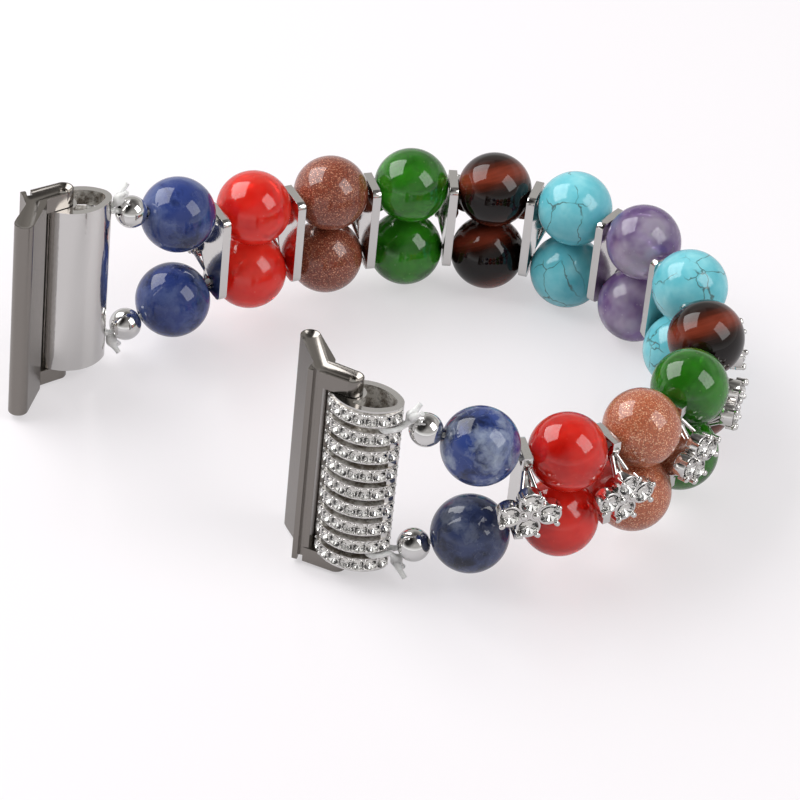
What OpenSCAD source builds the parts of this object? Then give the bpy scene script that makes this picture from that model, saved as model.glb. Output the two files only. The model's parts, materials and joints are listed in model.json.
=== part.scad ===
// Two-row stretch band of gemstone beads, with rhinestone spacers and rhinestone end connectors.
// Millimetres, +Z up. The band lies on its side, so +Z runs across its width.

/* [Beads] */
// Diameter of the gemstone beads
bead_d = 10; // [8:0.5:12]
// Diameter of the hole drilled through a bead or a ball
bead_hole_d = 1.3; // [1.1:0.1:2]
// Diameter of the plain metal balls next to the connectors
ball_d = 4.3; // [3.5:0.1:5]
// Free space between the upper and the lower bead of a pair
row_gap = 0.2; // [0.1:0.1:1]

/* [Elastic] */
// Diameter of the elastic cord
cord_d = 0.7; // [0.5:0.1:0.8]
// Diameter of the knot at each end of a cord
knot_d = 1.5; // [1.2:0.1:1.6]

/* [Spacers] */
// Thickness of the spacer plate, along the band
plate_t = 1.15; // [0.8:0.05:1.6]
// Metal of the plate past the cord holes, across the band
plate_edge = 1.25; // [1:0.05:2]
// Depth of the plate from the cord line towards the wrist
plate_in = 3.5; // [2.5:0.1:4.5]
// Depth of the plate's full-height part
plate_flat = 5; // [4.5:0.1:5.5]
// Radius of the plate's corners on the wrist side
plate_corner = 0.9; // [0.3:0.1:1.2]
// Radius of the hollow flanks between the plate and the flower
flank_r = 2.4; // [2.2:0.1:2.6]
// Thickness of the four struts that carry the flower
strut_d = 0.56; // [0.4:0.02:0.7]
// Diameter of the two cord holes
plate_hole_d = 1.5; // [1.3:0.1:1.8]
// Distance from the cord line to the back of the flower
flower_at = 3.2; // [3:0.1:5]
// Height of the flower's cups
cup_h = 1.9; // [1.5:0.1:2.5]
// Wall of the cups
cup_wall = 0.35; // [0.25:0.05:0.5]
// Diameter of a flower stone
petal_d = 2.4; // [2:0.1:2.6]
// Metal between the seats of two neighbouring flower stones
petal_web = 0.62; // [0.5:0.02:0.64]
// Diameter of the prong tips that hold the flower stones
prong_d = 0.76; // [0.5:0.02:0.9]
// Diameter of the two balls between the flower stones
hub_d = 1; // [0.8:0.1:1]

/* [Connectors] */
// Number of stone-set ribs
ribs = 9; // [5:2:13]
// Height of a rib, across the band
rib_h = 1.95; // [1.8:0.05:2.5]
// Height of the slit between two ribs
slit_h = 0.85; // [0.85:0.05:1.5]
// Height of the plain rim past the last rib
rim_h = 0.325; // [0.2:0.025:1]
// Radius of the two long curved walls
conn_arc_r = 5.6; // [5:0.1:7]
// Radius of the rounded ends
conn_end_r = 1.9; // [1.6:0.1:2.4]
// Thickness of the connector, from the wrist side to the stones
conn_w = 6.2; // [5.6:0.1:7]
// Wall of the connector
conn_wall = 0.85; // [0.7:0.05:1]
// How far the ribs stand proud of the wall
rib_proud = 0.3; // [0.1:0.05:0.6]
// Stones in one rib
rib_stones = 7; // [3:2:7]
// Diameter of a rib stone
rib_stone_d = 1.6; // [1.2:0.1:1.7]
// Distance between two rib stones, along the wall
rib_stone_pitch = 1.64; // [1.64:0.02:1.7]

/* [Adapters] */
// Distance from the pin's axis to the connector's end
pin_back = 2.6; // [2.4:0.1:3]
// Diameter of the pin's barrel
pin_d = 2; // [1.6:0.1:2.2]
// Diameter of the pin's thinner ends
pin_end_d = 1.1; // [0.8:0.1:1.4]
// Thickness of an ear, across the band
ear_t = 2.2; // [1.5:0.1:3]
// Radius of the ear round the pin
ear_r = 1.35; // [1.25:0.05:2]
// Space between the connector's end and the bar
bar_gap = 0.6; // [0.3:0.1:1.5]
// Width of the bar that joins the ears, along the band
bar_w = 2.1; // [1.8:0.1:3]
// Depth of the bar, from its front to the tongue
bar_t = 3; // [2.5:0.1:4]
// Width and depth of the groove in the front of the bar
groove = 0.7; // [0.4:0.1:1]
// Thickness of the tongue
tongue_t = 2.6; // [2.5:0.1:3.5]
// Width of the tongue's rounded section, from end to end
tongue_w = 7.8; // [6:0.1:10]
// Slant of the tongue's section against the connector, in degrees
tongue_slant = 52; // [30:1:80]
// Depth of the hollow in the adapter's end faces
hollow_depth = 0.5; // [0.2:0.1:0.6]
// Radius of the hollow's round section
hollow_r = 1.6; // [1.2:0.1:1.7]

/* [Layout] */
// Turns of the band at the near connector, at each spacer and at the far connector, in degrees
bends = [20, 19, 22, 22, 21, 22, 23, 22, 20, 17, 12, 6, 0, -4]; // [-25:1:25]
// Direction in which the band leaves the near pair of beads, in degrees
start_heading = 6; // [-30:1:30]
// Swing of the near adapter on its pin, in degrees
near_swing = 0; // [-15:1:15]
// Swing of the far adapter on its pin, in degrees
far_swing = 0; // [-15:1:15]

/* [Hidden] */
touch = 0.05;      // gap between pieces that the elastic pulls together
run_fit = 0.05;    // radial clearance of the connector round its pin
seat_fit = 0.04;   // clearance of a stone or a pin's end in its seat
slip = 0.1;        // gap between an ear and the connector's rim
cut = 1;           // how far a cutter reaches past the metal
smooth = 96;       // sides of a large circle
fine = 32;         // sides of a small circle
facets = 8;        // sides of a cut stone
cord_sides = 8;
gems = ["navy", "firebrick", "sienna", "darkgreen", "maroon", "mediumturquoise", "slateblue",
        "mediumturquoise", "maroon", "darkgreen", "sienna", "firebrick", "navy"];

// Stone profile, as shares of the stone's diameter
table_share = 0.56;
crown_share = 0.17;
pavilion_share = 0.25;
culet_share = 0.6;

// Spacer
spacers = len(bends) - 2;
pairs = spacers + 1;
row = bead_d + row_gap;
plate_top = row / 2 + plate_edge;
neck_z = 1.9;
flank_past = 0.2;  // from the plate's end to the middle of its hollow flanks
cup_rim = 0.2;
cup_r = petal_d / 2 + seat_fit + cup_wall;
petal_pitch = petal_d + 2 * seat_fit + petal_web;
petal_fan = 36;    // slope of the line between two neighbouring stones, from the band's run
petals = petal_pitch * [[cos(petal_fan), 0], [0, sin(petal_fan)], [-cos(petal_fan), 0],
    [0, -sin(petal_fan)]];
hub_at = 0.3 * petals[0].x;
prong_at = (petal_d + prong_d + seat_fit) / 2;
prong_turn = 50;
prong_from = 0.85; // from the back of the cups to the foot of a prong
strut_from = [0.28, 1, 4.3];
strut_to = [1.05, flower_at + 0.3, 2.4];

// Connector, whose tip on the beads' side is its origin
pitch = rib_h + slit_h;
conn_h = ribs * rib_h + (ribs - 1) * slit_h + 2 * rim_h;
arc_off = conn_arc_r - conn_w / 2;
end_off = sqrt(pow(conn_arc_r - conn_end_r, 2) - pow(arc_off, 2));
arc_end = atan2(end_off, arc_off);
arc_len = conn_arc_r * arc_end * PI / 180;
conn_len = 2 * (end_off + conn_end_r);
pin_x = conn_len - pin_back;
pin_seat_r = pin_d / 2 + run_fit;
divider = 0.75;    // metal between the pin's seat and the cord chamber
throat = 0.75;     // from the pin's axis to the mouth of its seat
rail = 0.8;        // uncut metal at both ends of a slit
slit_floor = 0.8;  // from the connector's middle plane to the slit's floor
rib_seat = 0.5;    // depth of a rib stone's seat
slit_z = pitch * (ribs - 2) / 2;
cord_hole_d = cord_d + 0.4;

// Adapter, whose origin is the pin's axis
adapter_h = conn_h + 2 * (slip + ear_t);
bar_x = pin_back + rib_proud + bar_gap;
bar_front = 0.8;
tongue_front = [bar_x + bar_w - tongue_t / 2, bar_front - bar_t + 0.3];
tongue_back = tongue_front + (tongue_w - tongue_t) * [cos(tongue_slant), -sin(tongue_slant)];
pin_end = adapter_h / 2 - hollow_depth - 0.15;

// The chain of bead pairs in plan: the cord runs straight through a pair and turns in a spacer
function along(a) = [cos(a), sin(a)];
function turned(p, a) = [p.x * cos(a) - p.y * sin(a), p.x * sin(a) + p.y * cos(a)];
function heading(k) = k <= 1 ? start_heading : heading(k - 1) + bends[k - 1];
function facing(k) = heading(k) + bends[k] / 2;
function reach(k) = (bead_d / 2 + plate_t / 2 + touch) / cos(bends[k] / 2);
function centre(k) = k <= 1 ? [0, 0]
    : centre(k - 1) + reach(k - 1) * (along(heading(k - 1)) + along(heading(k)));
function hole(k) = centre(k) + reach(k) * along(heading(k));

// At both ends the two cords part, to reach the outermost slits of the connector
exit_x = bead_d / 2 + ball_d + 2 * touch;
tip_gap = 0.5;
fan_near = atan2(slit_z - row / 2, reach(1) + exit_x);
fan_far = atan2(slit_z - row / 2, reach(spacers) + exit_x);
function fan(k) = k == 1 ? fan_near : k == pairs ? -fan_far : 0;
function pair_z(k) = row / 2 + (k == 1 ? reach(1) * tan(fan_near)
    : k == pairs ? reach(spacers) * tan(fan_far) : 0);

near_heading = start_heading - bends[0];
far_heading = heading(pairs) + bends[spacers + 1];
near_exit = centre(1) - exit_x * along(heading(1));
far_exit = centre(pairs) + exit_x * along(heading(pairs));
near_tip = near_exit - tip_gap * along(near_heading);
far_tip = far_exit + tip_gap * along(far_heading);
near_pin = near_tip - pin_x * along(near_heading);
far_pin = far_tip + pin_x * along(far_heading);

// The outermost places in plan, each with its radius, and the middle of the box round them
function near_place(p) = near_pin + turned(p, near_heading + 180 + near_swing);
function far_place(p) = far_pin + turned([p.x, -p.y], far_heading - far_swing);
prong_x = petals[0].x + prong_at * cos(prong_turn);
adapter_rim = [concat(tongue_front, tongue_t / 2), concat(tongue_back, tongue_t / 2),
               [bar_x + bar_w, bar_front, 0]];
rim = concat(
    [for (k = [1:spacers], side = [-1, 1], c = [[prong_x, prong_d / 2], [petals[0].x + cup_r, 0]])
        concat(hole(k) + turned([side * c.x, -flower_at - cup_h], facing(k)), c.y)],
    [for (c = adapter_rim) each [concat(near_place(c), c.z), concat(far_place(c), c.z)]]);
low = [min([for (c = rim) c.x - c.z]), min([for (c = rim) c.y - c.z])];
high = [max([for (c = rim) c.x + c.z]), max([for (c = rim) c.y + c.z])];
middle = (low + high) / 2;

// Tie of a cord round a connector's tip, from its cut tail to where it leaves for the beads.
// Each point is [away from the tip, outwards, past the slit, 0 on the cord to 1 on the knot]
tie = [
    [-1.9, -0.7, 3, 0],
    [-1.6, -0.4, 2.5, 0],
    [-1.4, -0.1, 2.2, 0.5],
    [-1.25, 0.1, 1.8, 1],
    [-1.15, 0.25, 1.35, 1],
    [-1, 0.45, 0.95, 0.5],
    [-0.8, 0.65, 0.6, 0],
    [-0.3, 0.8, 0, 0],
    [0.1, 1.5, 0, 0],
    [0.7, 2.1, 0, 0],
    [1.4, 2.5, 0, 0],
    [2.1, 2.3, 0, 0],
    [2.5, 1.5, 0, 0],
    [2.2, 0.6, 0, 0],
    [1.5, 0.1, 0, 0],
    [0.4, 0, 0, 0]
];
bend_half = 0.45;  // half the length of the cord's bend in a spacer

function tie_end(p, side) = [side * (slit_z + p.z), cord_d / 2 + (knot_d - cord_d) / 2 * p[3]];
function near_tie(side) = [for (p = tie)
    concat(near_tip + turned([p.x, p.y], near_heading + 180), tie_end(p, side))];
function far_tie(side) = [for (i = [len(tie) - 1:-1:0])
    concat(far_tip + turned([tie[i].x, -tie[i].y], far_heading), tie_end(tie[i], side))];
function bend_z(k, way) = row / 2 + (k == 1 && way < 0 ? bend_half * tan(fan_near)
    : k == spacers && way > 0 ? bend_half * tan(fan_far) : 0);
function bend_point(k, way, side) =
    concat(hole(k) + way * bend_half * along(heading(way < 0 ? k : k + 1)),
        [side * bend_z(k, way), cord_d / 2]);
function cord_route(side) = concat(
    near_tie(side),
    [concat(near_exit, [side * slit_z, cord_d / 2])],
    [for (k = [1:spacers], way = [-1, 1]) bend_point(k, way, side)],
    [concat(far_exit, [side * slit_z, cord_d / 2])],
    far_tie(side));

// Moves a drawing from the chain's own start to the middle of the band, on its lower side
module in_frame() {
    translate([-middle.x, -middle.y, adapter_h / 2]) children();
}

module at_near_end() {
    in_frame() translate([near_tip.x, near_tip.y, 0]) rotate([0, 0, near_heading + 180]) children();
}

module at_far_end() {
    in_frame() translate([far_tip.x, far_tip.y, 0]) rotate([0, 0, far_heading])
        rotate([180, 0, 0]) children();
}

module on_pin(swing) {
    translate([pin_x, 0, 0]) rotate([0, 0, swing]) children();
}

// A ball with a hole along X
module drilled_ball(d) {
    rotate([0, 90, 0]) rotate_extrude($fn = smooth) intersection() {
        circle(d = d, $fn = smooth);
        translate([bead_hole_d / 2, -d / 2]) square([d / 2, d]);
    }
}

module bead(k, side) {
    in_frame() translate([centre(k).x, centre(k).y, side * pair_z(k)])
        rotate([0, side * fan(k), heading(k)])
            color(gems[(k - 1) % len(gems)]) drilled_ball(bead_d);
}

// The plain ball next to the first or last pair of beads, on the same stretch of cord
module ball(k, side) {
    way = k == 1 ? -1 : 1;
    in_frame() translate([centre(k).x, centre(k).y, side * pair_z(k)])
        rotate([0, side * fan(k), heading(k)])
            translate([way * (bead_d / 2 + ball_d / 2 + touch), 0, 0])
                color("silver") drilled_ball(ball_d);
}

function corners(r, z) =
    [for (i = [0:facets - 1]) concat(r * along((i + 0.5) * 360 / facets), z)];

// A cut stone with its widest edge at the origin and its table towards +Z
module cut_stone(d) {
    n = facets;
    points = concat(corners(culet_share * d / 2, -pavilion_share * d), corners(d / 2, 0),
        corners(table_share * d / 2, crown_share * d));
    sides = [for (a = [0, n], j = [0:n - 1])
        [a + j, a + n + j, a + n + (j + 1) % n, a + (j + 1) % n]];
    polyhedron(points, concat([[for (j = [0:n - 1]) j]], sides, [[for (j = [n - 1:-1:0]) 2 * n + j]]));
}

// Side view of a spacer's plate: square towards the wrist, with hollow flanks towards the flower
module plate_outline() {
    end = flower_at + cup_wall;
    flank = [end + flank_past, neck_z + flank_r];
    shoulder = flank.y - sqrt(pow(flank_r, 2) - pow(flank.x - plate_flat + plate_in, 2)) + touch;
    difference() {
        union() {
            translate([plate_corner - plate_in, -plate_top])
                square([plate_flat - plate_corner, 2 * plate_top]);
            translate([-plate_in, plate_corner - plate_top])
                square([plate_corner, 2 * (plate_top - plate_corner)]);
            for (side = [-1, 1])
                translate([plate_corner - plate_in, side * (plate_top - plate_corner)])
                    circle(r = plate_corner, $fn = smooth);
            translate([0, -shoulder]) square([end, 2 * shoulder]);
        }
        for (side = [-1, 1]) translate([flank.x, side * flank.y]) circle(r = flank_r, $fn = smooth);
    }
}

// A round bar between two points in space
module strut(from, to, d) {
    step = to - from;
    translate(from) rotate([0, acos(step.z / norm(step)), atan2(step.y, step.x)])
        cylinder(h = norm(step), d = d, $fn = fine);
}

module at_petals() {
    for (p = petals) translate(p) children();
}

// Places its children at the two outer prongs of each flower stone
module at_prongs() {
    for (p = petals, turn = [-prong_turn, prong_turn])
        translate(p) rotate([0, 0, atan2(p.y, p.x) + turn]) translate([prong_at, 0, 0]) children();
}

// The four-stone flower, facing +Z, with the back of its cups at the origin
module flower() {
    seat_floor = cup_h - cup_rim - pavilion_share * petal_d - seat_fit;
    difference() {
        union() {
            at_petals() cylinder(h = cup_h, r = cup_r, $fn = smooth);
            at_prongs() translate([0, 0, prong_from])
                cylinder(h = cup_h - prong_from, d = prong_d, $fn = fine);
            for (way = [-1, 1]) translate([way * hub_at, 0, 0])
                cylinder(h = cup_h - cup_rim, d = 1.6 * hub_d, $fn = fine);
        }
        at_petals() translate([0, 0, seat_floor])
            cylinder(h = cup_h, r = petal_d / 2 + seat_fit, $fn = smooth);
    }
    at_prongs() translate([0, 0, cup_h]) sphere(d = prong_d, $fn = fine);
    for (way = [-1, 1]) translate([way * hub_at, 0, cup_h - cup_rim]) sphere(d = hub_d, $fn = fine);
}

// A spacer in its own place: +X along the band, +Y away from the wrist
module spacer_piece() {
    color("silver") {
        difference() {
            rotate([90, 0, 90]) linear_extrude(height = plate_t, center = true) plate_outline();
            for (side = [-1, 1]) translate([0, 0, side * row / 2]) rotate([0, 90, 0])
                cylinder(h = plate_t + cut, d = plate_hole_d, center = true, $fn = fine);
        }
        translate([0, flower_at, 0]) rotate([-90, 0, 0]) flower();
        for (way = [-1, 1], side = [-1, 1])
            strut([way * strut_from.x, strut_from.y, side * strut_from.z],
                [way * strut_to.x, strut_to.y, side * strut_to.z], strut_d);
    }
    color("aliceblue") translate([0, flower_at, 0]) rotate([-90, 0, 0])
        at_petals() translate([0, 0, cup_h - cup_rim]) cut_stone(petal_d);
}

module spacer(k) {
    in_frame() translate([hole(k).x, hole(k).y, 0]) rotate([0, 0, facing(k) + 180]) spacer_piece();
}

// The connector's oval in plan, drawn smaller by inset on all sides
module oval(inset) {
    middle_len = 2 * (conn_arc_r - inset) * sin(arc_end);
    translate([conn_len / 2, 0]) {
        intersection() {
            translate([0, -arc_off]) circle(r = conn_arc_r - inset, $fn = smooth);
            translate([0, arc_off]) circle(r = conn_arc_r - inset, $fn = smooth);
            square([middle_len, conn_w], center = true);
        }
        for (way = [-1, 1]) translate([way * end_off, 0]) circle(r = conn_end_r - inset, $fn = smooth);
    }
}

// The half of the oval on the stones' side, standing proud of the wall
module rib_outline() {
    translate([0, rib_proud]) intersection() {
        oval(0);
        square([conn_len, conn_w]);
    }
}

// Places its children on the outer wall of the ribs, at a distance along it from its middle
module on_rib(from_middle) {
    past = max(0, abs(from_middle) - arc_len);
    way = sign(from_middle);
    turn = way * (min(abs(from_middle), arc_len) / conn_arc_r + past / conn_end_r) * 180 / PI;
    from = past > 0 ? [way * end_off, 0, conn_end_r] : [0, -arc_off, conn_arc_r];
    translate([conn_len / 2 + from.x, from.y + rib_proud, 0]) rotate([0, 0, -turn])
        translate([0, from.z, 0]) rotate([-90, 0, 0]) children();
}

module at_rib_stones() {
    for (rib = [0:ribs - 1], stone = [0:rib_stones - 1])
        translate([0, 0, (rib - (ribs - 1) / 2) * pitch])
            on_rib((stone - (rib_stones - 1) / 2) * rib_stone_pitch) children();
}

// The cord's chamber and the pin's seat, which run through the connector from face to face
module connector_core() {
    linear_extrude(height = conn_h + cut, center = true) difference() {
        oval(conn_wall);
        translate([pin_x, 0]) circle(r = pin_seat_r + divider, $fn = smooth);
        translate([pin_x - throat, -conn_w / 2]) square([conn_len, conn_w]);
    }
    linear_extrude(height = conn_h + cut, center = true) intersection() {
        oval(conn_wall);
        translate([pin_x + throat, -conn_w / 2]) square([conn_len, conn_w]);
    }
    translate([pin_x, 0, 0]) cylinder(h = conn_h + cut, r = pin_seat_r, center = true, $fn = smooth);
}

module connector() {
    color("silver") difference() {
        union() {
            linear_extrude(height = conn_h, center = true) oval(0);
            for (rib = [0:ribs - 1]) translate([0, 0, (rib - (ribs - 1) / 2) * pitch])
                linear_extrude(height = rib_h, center = true) rib_outline();
        }
        connector_core();
        for (slit = [0:ribs - 2])
            translate([rail, slit_floor, (slit - (ribs - 2) / 2) * pitch - slit_h / 2])
                cube([conn_len - 2 * rail, conn_w, slit_h]);
        at_rib_stones() translate([0, 0, -rib_seat])
            cylinder(h = rib_seat + cut, d = rib_stone_d + 2 * seat_fit, $fn = fine);
        for (side = [-1, 1]) translate([-cut, 0, side * slit_z]) rotate([0, 90, 0])
            cylinder(h = conn_end_r + cut, d = cord_hole_d, $fn = fine);
    }
}

module connector_stones() {
    color("aliceblue") at_rib_stones()
        translate([0, 0, pavilion_share * rib_stone_d + seat_fit - rib_seat]) cut_stone(rib_stone_d);
}

// A bar with round ends, between two points
module round_bar(from, to, r) {
    step = to - from;
    translate(from) circle(r = r, $fn = smooth);
    translate(to) circle(r = r, $fn = smooth);
    translate(from) rotate(atan2(step.y, step.x)) translate([0, -r]) square([norm(step), 2 * r]);
}

// A round-bottomed channel between two points of the adapter's end face at +Z
module hollow_run(from, to) {
    step = to - from;
    translate([from.x, from.y, adapter_h / 2 + hollow_r - hollow_depth]) {
        sphere(r = hollow_r, $fn = smooth);
        rotate([0, 0, atan2(step.y, step.x)]) rotate([0, 90, 0])
            cylinder(h = norm(step), r = hollow_r, $fn = smooth);
        translate([step.x, step.y, 0]) sphere(r = hollow_r, $fn = smooth);
    }
}

module ear_outline() {
    circle(r = ear_r, $fn = smooth);
    polygon([[0, ear_r], [bar_x + bar_w / 2, bar_front], [bar_x + bar_w / 2, bar_front - bar_t],
             [0, -ear_r]]);
}

module adapter() {
    bar_middle = [bar_x + bar_w / 2, bar_front - bar_t / 2];
    color("dimgray") difference() {
        union() {
            linear_extrude(height = adapter_h, center = true) {
                round_bar(tongue_front, tongue_back, tongue_t / 2);
                translate([bar_x, bar_front - bar_t]) square([bar_w, bar_t]);
            }
            for (side = [-1, 1]) translate([0, 0, side * (adapter_h - ear_t) / 2])
                linear_extrude(height = ear_t, center = true) ear_outline();
        }
        translate([bar_x + (bar_w - groove) / 2, bar_front - groove, -adapter_h / 2 - cut])
            cube([groove, groove + cut, adapter_h + 2 * cut]);
        for (side = [0, 1]) mirror([0, 0, side]) {
            hollow_run([0, 0], bar_middle);
            hollow_run(bar_middle, tongue_back);
        }
        cylinder(h = adapter_h + cut, d = pin_end_d + 2 * seat_fit, center = true, $fn = fine);
    }
}

module pin() {
    color("gainsboro") {
        cylinder(h = conn_h, d = pin_d, center = true, $fn = smooth);
        cylinder(h = 2 * pin_end, d = pin_end_d, center = true, $fn = fine);
    }
}

// Sweep of a round section along points [x, y, z, radius], carried on without twist
function unit(v) = v / norm(v);
function spot(p) = [p.x, p.y, p.z];
function travel(route, i) =
    unit(spot(route[min(i + 1, len(route) - 1)]) - spot(route[max(i - 1, 0)]));
function square_to(side, t) = unit(side - (side * t) * t);
function carried(route, i, side) = i == len(route) ? []
    : let (next = square_to(side, travel(route, i))) concat([next], carried(route, i + 1, next));
function ring(p, t, side) = [for (i = [0:cord_sides - 1])
    let (a = i * 360 / cord_sides) spot(p) + p[3] * (cos(a) * side + sin(a) * cross(t, side))];

module swept(route) {
    sides = carried(route, 0, [0.6, 0, 0.8]);
    last = len(route) - 1;
    n = cord_sides;
    points = [for (i = [0:last]) each ring(route[i], travel(route, i), sides[i])];
    tube = [for (i = [0:last - 1], j = [0:n - 1])
        let (a = i * n + j, b = i * n + (j + 1) % n) each [[a, b + n, b], [a, a + n, b + n]]];
    start_cap = [for (j = [1:n - 2]) [0, j, j + 1]];
    end_cap = [for (j = [1:n - 2]) [last * n, last * n + j + 1, last * n + j]];
    polyhedron(points, concat(start_cap, tube, end_cap));
}

module elastic(side) {
    in_frame() color("whitesmoke") swept(cord_route(side));
}

for (k = [1:pairs]) {
    bead(k, 1);
    bead(k, -1);
}
for (k = [1:spacers]) {
    spacer(k);
}
ball(1, 1);  // near_ball_upper
ball(1, -1);  // near_ball_lower
ball(pairs, 1);  // far_ball_upper
ball(pairs, -1);  // far_ball_lower
at_near_end() connector();  // near_connector
at_far_end() connector();  // far_connector
at_near_end() connector_stones();  // near_stones
at_far_end() connector_stones();  // far_stones
at_near_end() on_pin(near_swing) adapter();  // near_adapter
at_far_end() on_pin(far_swing) adapter();  // far_adapter
at_near_end() on_pin(near_swing) pin();  // near_pin
at_far_end() on_pin(far_swing) pin();  // far_pin
elastic(1);  // elastic_upper
elastic(-1);  // elastic_lower
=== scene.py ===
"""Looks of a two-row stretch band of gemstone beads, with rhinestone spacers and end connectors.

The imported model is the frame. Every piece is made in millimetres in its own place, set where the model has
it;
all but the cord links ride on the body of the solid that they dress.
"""

import json
import logging
import math
from collections.abc import Iterable, Sequence
from dataclasses import dataclass
from enum import Enum

import bmesh
import bpy
from mathutils import Matrix, Vector

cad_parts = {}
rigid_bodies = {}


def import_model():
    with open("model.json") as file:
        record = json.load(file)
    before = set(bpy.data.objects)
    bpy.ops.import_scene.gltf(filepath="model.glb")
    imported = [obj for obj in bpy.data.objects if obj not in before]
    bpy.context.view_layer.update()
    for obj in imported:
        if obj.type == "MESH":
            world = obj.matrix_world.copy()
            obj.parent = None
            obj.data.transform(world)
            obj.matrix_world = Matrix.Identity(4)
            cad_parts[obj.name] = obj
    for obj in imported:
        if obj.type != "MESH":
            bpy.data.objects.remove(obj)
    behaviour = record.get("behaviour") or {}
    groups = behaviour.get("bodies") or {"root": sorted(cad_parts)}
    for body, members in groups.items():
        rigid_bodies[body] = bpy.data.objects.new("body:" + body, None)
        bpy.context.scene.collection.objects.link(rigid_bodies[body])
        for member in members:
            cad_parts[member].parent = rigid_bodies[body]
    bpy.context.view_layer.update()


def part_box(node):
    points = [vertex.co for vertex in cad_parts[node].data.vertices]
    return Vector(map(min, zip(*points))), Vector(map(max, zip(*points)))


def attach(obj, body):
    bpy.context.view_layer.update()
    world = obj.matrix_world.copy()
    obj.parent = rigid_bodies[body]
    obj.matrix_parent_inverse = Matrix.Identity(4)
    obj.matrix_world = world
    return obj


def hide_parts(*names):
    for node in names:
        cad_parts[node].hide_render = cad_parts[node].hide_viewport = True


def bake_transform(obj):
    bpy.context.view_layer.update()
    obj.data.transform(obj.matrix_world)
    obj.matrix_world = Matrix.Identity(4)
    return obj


LOG = logging.getLogger("band")
MM = 0.001
ROWS = ((1, "upper"), (-1, "lower"))
ENDS = ((-1, "near"), (1, "far"))
Span = tuple[float, float]
Point = tuple[float, float, float]
Quad = tuple[float, float, float, float]
Tree = bpy.types.NodeTree
Node = bpy.types.Node
Socket = bpy.types.NodeSocket
Source = Node | Socket
Inputs = dict[str | int, object]


class Slot(str, Enum):
    """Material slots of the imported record."""

    SODALITE = "sodalite"
    AGATE = "red_agate"
    GOLDSTONE = "goldstone"
    AVENTURINE = "green_aventurine"
    TIGER_EYE = "red_tiger_eye"
    TURQUOISE = "turquoise"
    AMETHYST = "amethyst"
    CASTING = "silver_casting"
    BALL = "polished_ball"
    CRYSTAL = "crystal"
    STEEL = "dark_steel"
    PIN = "pin_steel"
    ELASTIC = "elastic_cord"


def linear(code: str) -> Quad:
    """Turns an sRGB hex colour to linear values.

    Args:
        code: Six hex digits after a hash sign.

    Returns:
        Red, green, blue and an alpha of 1.
    """
    shares = [int(code[i : i + 2], 16) / 255 for i in (1, 3, 5)]
    made = [s / 12.92 if s <= 0.04045 else ((s + 0.055) / 1.055) ** 2.4 for s in shares]
    return (made[0], made[1], made[2], 1.0)


def add(tree: Tree, kind: str, inputs: Inputs | None = None, **settings: str) -> Node:
    """Adds a node with its settings and links.

    Args:
        tree: The node tree.
        kind: The node's type, without its ShaderNode prefix.
        inputs: For each socket, by name or number: a value, an output, or a node for its first output.
        **settings: Properties of the node.

    Returns:
        The new node.
    """
    node = tree.nodes.new("ShaderNode" + kind)
    for key, value in settings.items():
        setattr(node, key, value)
    for key, value in (inputs or {}).items():
        source = value.outputs[0] if isinstance(value, Node) else value
        if isinstance(source, Socket):
            tree.links.new(source, node.inputs[key])
        else:
            node.inputs[key].default_value = source
    return node


def noise(tree: Tree, place: Source, scale: float, detail: float, rough: float = 0.5,
          twist: float = 0.0) -> Node:
    """Adds soft noise with waves about 1 / scale millimetres long."""
    return add(tree, "TexNoise", {"Vector": place, "Scale": scale, "Detail": detail, "Roughness": rough,
                                  "Distortion": twist})


def bent(tree: Tree, place: Source, scale: float, detail: float, amount: float) -> Node:
    """Shifts a place by soft noise, by up to an amount in millimetres."""
    waves = noise(tree, place, scale, detail)
    return add(tree, "VectorMath", {0: waves.outputs["Color"], 1: (amount, amount, amount), 2: place},
               operation="MULTIPLY_ADD")


def mapped(tree: Tree, factor: Source, span: Span, reach: Span = (0.0, 1.0)) -> Node:
    """Maps a span of a factor on to its reach, and holds what lies past the ends."""
    return add(tree, "MapRange", {0: factor, 1: span[0], 2: span[1], 3: reach[0], 4: reach[1]})


def times(tree: Tree, first: Source, second: Source | float) -> Node:
    """Multiplies two factors."""
    return add(tree, "Math", {0: first, 1: second}, operation="MULTIPLY")


def mixed(tree: Tree, share: Source | float, first: object, second: object, kind: str = "MIX") -> Node:
    """Mixes two colours; a share of 1 gives the second."""
    return add(tree, "MixRGB", {0: share, 1: first, 2: second}, blend_type=kind)


def ramp(tree: Tree, factor: Source, stops: Sequence[tuple[float, str]]) -> Node:
    """Colours a factor by a list of stops.

    Args:
        tree: The node tree.
        factor: What drives the colours.
        stops: Pairs of a place from 0 to 1 and an sRGB hex colour.

    Returns:
        The node.
    """
    node = add(tree, "ValToRGB", {0: factor})
    band = node.color_ramp
    while len(band.elements) < len(stops):
        band.elements.new(0.5)
    for element, (place, code) in zip(band.elements, stops):
        element.position = place
        element.color = linear(code)
    return node


def blank(owner: bpy.types.Material | bpy.types.World) -> Tree:
    """Gives the emptied node tree of a material or a world."""
    owner.use_nodes = True
    owner.node_tree.nodes.clear()
    return owner.node_tree


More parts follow.
